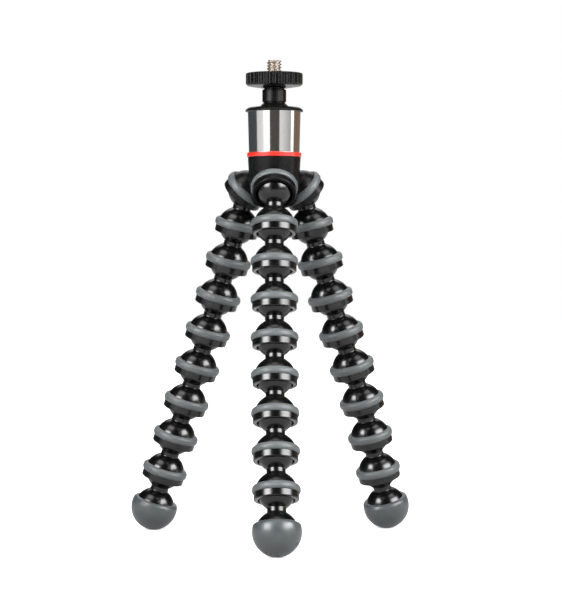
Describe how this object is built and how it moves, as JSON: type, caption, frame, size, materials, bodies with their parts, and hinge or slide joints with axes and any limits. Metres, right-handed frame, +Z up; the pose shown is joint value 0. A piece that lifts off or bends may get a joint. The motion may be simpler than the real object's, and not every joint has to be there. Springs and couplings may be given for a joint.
{
  "type": "flexible leg tripod",
  "caption": "Small camera tripod with bendable legs of snap-together ball links, grip rings, rubber feet and a ball head with lock wheel and camera screw.",
  "frame": {"origin": "the point of the floor right under the camera screw, in the plane that the three rubber feet stand on", "axes": "+Z up along the camera screw; the front leg leans towards -Y; +X to the right as seen from the front"},
  "size_m": [0.1221, 0.1097, 0.2028],
  "materials": {
    "link_plastic": "black injection-moulded plastic, glossy",
    "grip_rubber": "soft mid-grey moulded rubber, matte",
    "foot_rubber": "dark grey moulded rubber, matte",
    "hub_plastic": "black plastic, satin",
    "red_plastic": "bright red plastic, slightly glossy",
    "sleeve_steel": "turned and lightly brushed stainless steel",
    "collar_plastic": "black plastic, satin",
    "stem_plastic": "black plastic, semi-gloss",
    "wheel_plastic": "black plastic, semi-gloss, fluted",
    "seat_nylon": "natural nylon, out of sight",
    "screw_steel": "bright steel, slightly warm"
  },
  "bodies": {
    "hub": {"hub_body": "hub_plastic", "hub_grip_rings": "grip_rubber", "red_band": "red_plastic", "steel_sleeve": "sleeve_steel", "top_collar": "collar_plastic"},
    "ball_seat": {"ball_seat": "seat_nylon"},
    "ball_stem": {"ball_stem": "stem_plastic", "mounting_screw": "screw_steel"},
    "lock_wheel": {"lock_wheel": "wheel_plastic"},
    "front_segment_1": {"front_link_1": "link_plastic", "front_grip_1": "grip_rubber"},
    "front_segment_2": {"front_link_2": "link_plastic", "front_grip_2": "grip_rubber"},
    "front_segment_3": {"front_link_3": "link_plastic", "front_grip_3": "grip_rubber"},
    "front_segment_4": {"front_link_4": "link_plastic", "front_grip_4": "grip_rubber"},
    "front_segment_5": {"front_link_5": "link_plastic", "front_grip_5": "grip_rubber"},
    "front_segment_6": {"front_link_6": "link_plastic", "front_grip_6": "grip_rubber"},
    "front_segment_7": {"front_link_7": "link_plastic", "front_grip_7": "grip_rubber"},
    "front_segment_8": {"front_link_8": "link_plastic", "front_grip_8": "grip_rubber"},
    "front_foot": {"front_foot": "foot_rubber"},
    "left_segment_1": {"left_link_1": "link_plastic", "left_grip_1": "grip_rubber"},
    "left_segment_2": {"left_link_2": "link_plastic", "left_grip_2": "grip_rubber"},
    "left_segment_3": {"left_link_3": "link_plastic", "left_grip_3": "grip_rubber"},
    "left_segment_4": {"left_link_4": "link_plastic", "left_grip_4": "grip_rubber"},
    "left_segment_5": {"left_link_5": "link_plastic", "left_grip_5": "grip_rubber"},
    "left_segment_6": {"left_link_6": "link_plastic", "left_grip_6": "grip_rubber"},
    "left_segment_7": {"left_link_7": "link_plastic", "left_grip_7": "grip_rubber"},
    "left_segment_8": {"left_link_8": "link_plastic", "left_grip_8": "grip_rubber"},
    "left_foot": {"left_foot": "foot_rubber"},
    "right_segment_1": {"right_link_1": "link_plastic", "right_grip_1": "grip_rubber"},
    "right_segment_2": {"right_link_2": "link_plastic", "right_grip_2": "grip_rubber"},
    "right_segment_3": {"right_link_3": "link_plastic", "right_grip_3": "grip_rubber"},
    "right_segment_4": {"right_link_4": "link_plastic", "right_grip_4": "grip_rubber"},
    "right_segment_5": {"right_link_5": "link_plastic", "right_grip_5": "grip_rubber"},
    "right_segment_6": {"right_link_6": "link_plastic", "right_grip_6": "grip_rubber"},
    "right_segment_7": {"right_link_7": "link_plastic", "right_grip_7": "grip_rubber"},
    "right_segment_8": {"right_link_8": "link_plastic", "right_grip_8": "grip_rubber"},
    "right_foot": {"right_foot": "foot_rubber"}
  },
  "joints": [
    {"name": "head_pan", "type": "hinge", "parent": "hub", "child": "ball_seat", "pos_m": [0, 0, 0.17865], "axis": [0, 0, 1], "continuous": true},
    {"name": "head_tilt", "type": "hinge", "parent": "ball_seat", "child": "ball_stem", "pos_m": [0, 0, 0.17865], "axis": [1, 0, 0], "range_deg": [-17, 17]},
    {"name": "lock_wheel_spin", "type": "hinge", "parent": "ball_stem", "child": "lock_wheel", "pos_m": [0, 0, 0.19052], "axis": [0, 0, 1], "continuous": true},
    {"name": "front_bend_1", "type": "hinge", "parent": "hub", "child": "front_segment_1", "pos_m": [0, -0.01391, 0.14791], "axis": [-1, 0, 0], "range_deg": [-3, 62]},
    {"name": "front_bend_2", "type": "hinge", "parent": "front_segment_1", "child": "front_segment_2", "pos_m": [0, -0.01808, 0.13235], "axis": [-0.0053, 0.9703, -0.2419], "range_deg": [-30, 30]},
    {"name": "front_bend_3", "type": "hinge", "parent": "front_segment_2", "child": "front_segment_3", "pos_m": [0.00002, -0.02198, 0.11671], "axis": [-0.9999, -0.0109, 0], "range_deg": [-30, 30]},
    {"name": "front_bend_4", "type": "hinge", "parent": "front_segment_3", "child": "front_segment_4", "pos_m": [0.00006, -0.02574, 0.10104], "axis": [0.0158, -0.9635, 0.2672], "range_deg": [-30, 30]},
    {"name": "front_bend_5", "type": "hinge", "parent": "front_segment_4", "child": "front_segment_5", "pos_m": [0.00013, -0.03005, 0.08552], "axis": [0.9998, 0.0218, 0], "range_deg": [-30, 30]},
    {"name": "front_bend_6", "type": "hinge", "parent": "front_segment_5", "child": "front_segment_6", "pos_m": [0.00024, -0.03516, 0.07024], "axis": [-0.0255, 0.9332, -0.3584], "range_deg": [-30, 30]},
    {"name": "front_bend_7", "type": "hinge", "parent": "front_segment_6", "child": "front_segment_7", "pos_m": [0.0004, -0.04093, 0.05519], "axis": [-0.9995, -0.0327, 0], "range_deg": [-30, 30]},
    {"name": "front_bend_8", "type": "hinge", "parent": "front_segment_7", "child": "front_segment_8", "pos_m": [0.00059, -0.04684, 0.0402], "axis": [0.0355, -0.9297, 0.3665], "range_deg": [-30, 30]},
    {"name": "front_foot_bend", "type": "hinge", "parent": "front_segment_8", "child": "front_foot", "pos_m": [0.00082, -0.05274, 0.02521], "axis": [0.999, 0.0436, 0], "range_deg": [-30, 30]},
    {"name": "left_bend_1", "type": "hinge", "parent": "hub", "child": "left_segment_1", "pos_m": [-0.01205, 0.00696, 0.14791], "axis": [0.515, 0.8572, 0], "range_deg": [-3, 62]},
    {"name": "left_bend_2", "type": "hinge", "parent": "left_segment_1", "child": "left_segment_2", "pos_m": [-0.01582, 0.00922, 0.13241], "axis": [0.8297, -0.4718, -0.2982], "range_deg": [-30, 30]},
    {"name": "left_bend_3", "type": "hinge", "parent": "left_segment_2", "child": "left_segment_3", "pos_m": [-0.02, 0.0116, 0.11703], "axis": [0.4733, 0.8809, 0], "range_deg": [-30, 30]},
    {"name": "left_bend_4", "type": "hinge", "parent": "left_segment_3", "child": "left_segment_4", "pos_m": [-0.02447, 0.014, 0.10174], "axis": [-0.8466, 0.4291, 0.3149], "range_deg": [-30, 30]},
    {"name": "left_bend_5", "type": "hinge", "parent": "left_segment_4", "child": "left_segment_5", "pos_m": [-0.02899, 0.01629, 0.08644], "axis": [-0.4305, -0.9026, 0], "range_deg": [-30, 30]},
    {"name": "left_bend_6", "type": "hinge", "parent": "left_segment_5", "child": "left_segment_6", "pos_m": [-0.03369, 0.01854, 0.0712], "axis": [0.8637, -0.3868, -0.3231], "range_deg": [-30, 30]},
    {"name": "left_bend_7", "type": "hinge", "parent": "left_segment_6", "child": "left_segment_7", "pos_m": [-0.03845, 0.02066, 0.05595], "axis": [0.3867, 0.9222, 0], "range_deg": [-30, 30]},
    {"name": "left_bend_8", "type": "hinge", "parent": "left_segment_7", "child": "left_segment_8", "pos_m": [-0.04325, 0.02268, 0.0407], "axis": [-0.8813, 0.3449, 0.3231], "range_deg": [-30, 30]},
    {"name": "left_foot_bend", "type": "hinge", "parent": "left_segment_8", "child": "left_foot", "pos_m": [-0.0481, 0.02457, 0.02545], "axis": [-0.342, -0.9397, 0], "range_deg": [-30, 30]},
    {"name": "right_bend_1", "type": "hinge", "parent": "hub", "child": "right_segment_1", "pos_m": [0.01205, 0.00696, 0.14791], "axis": [0.3827, -0.9239, 0], "range_deg": [-2, 63]},
    {"name": "right_bend_2", "type": "hinge", "parent": "right_segment_1", "child": "right_segment_2", "pos_m": [0.0158, 0.00851, 0.13232], "axis": [-0.8678, -0.407, -0.2852], "range_deg": [-30, 30]},
    {"name": "right_bend_3", "type": "hinge", "parent": "right_segment_2", "child": "right_segment_3", "pos_m": [0.01996, 0.01046, 0.11687], "axis": [0.4656, -0.885, 0], "range_deg": [-30, 30]},
    {"name": "right_bend_4", "type": "hinge", "parent": "right_segment_3", "child": "right_segment_4", "pos_m": [0.02438, 0.01279, 0.10155], "axis": [0.8103, 0.4749, 0.3432], "range_deg": [-30, 30]},
    {"name": "right_bend_5", "type": "hinge", "parent": "right_segment_4", "child": "right_segment_5", "pos_m": [0.02915, 0.01558, 0.08642], "axis": [-0.5446, 0.8387, 0], "range_deg": [-30, 30]},
    {"name": "right_bend_6", "type": "hinge", "parent": "right_segment_5", "child": "right_segment_6", "pos_m": [0.0339, 0.01867, 0.07133], "axis": [-0.7659, -0.5488, -0.335], "range_deg": [-30, 30]},
    {"name": "right_bend_7", "type": "hinge", "parent": "right_segment_6", "child": "right_segment_7", "pos_m": [0.03829, 0.02181, 0.05615], "axis": [0.6191, -0.7853, 0], "range_deg": [-30, 30]},
    {"name": "right_bend_8", "type": "hinge", "parent": "right_segment_7", "child": "right_segment_8", "pos_m": [0.04211, 0.02482, 0.04079], "axis": [0.7228, 0.6256, 0.2936], "range_deg": [-30, 30]},
    {"name": "right_foot_bend", "type": "hinge", "parent": "right_segment_8", "child": "right_foot", "pos_m": [0.04568, 0.02792, 0.02539], "axis": [-0.6884, 0.7254, 0], "range_deg": [-30, 30]}
  ]
}
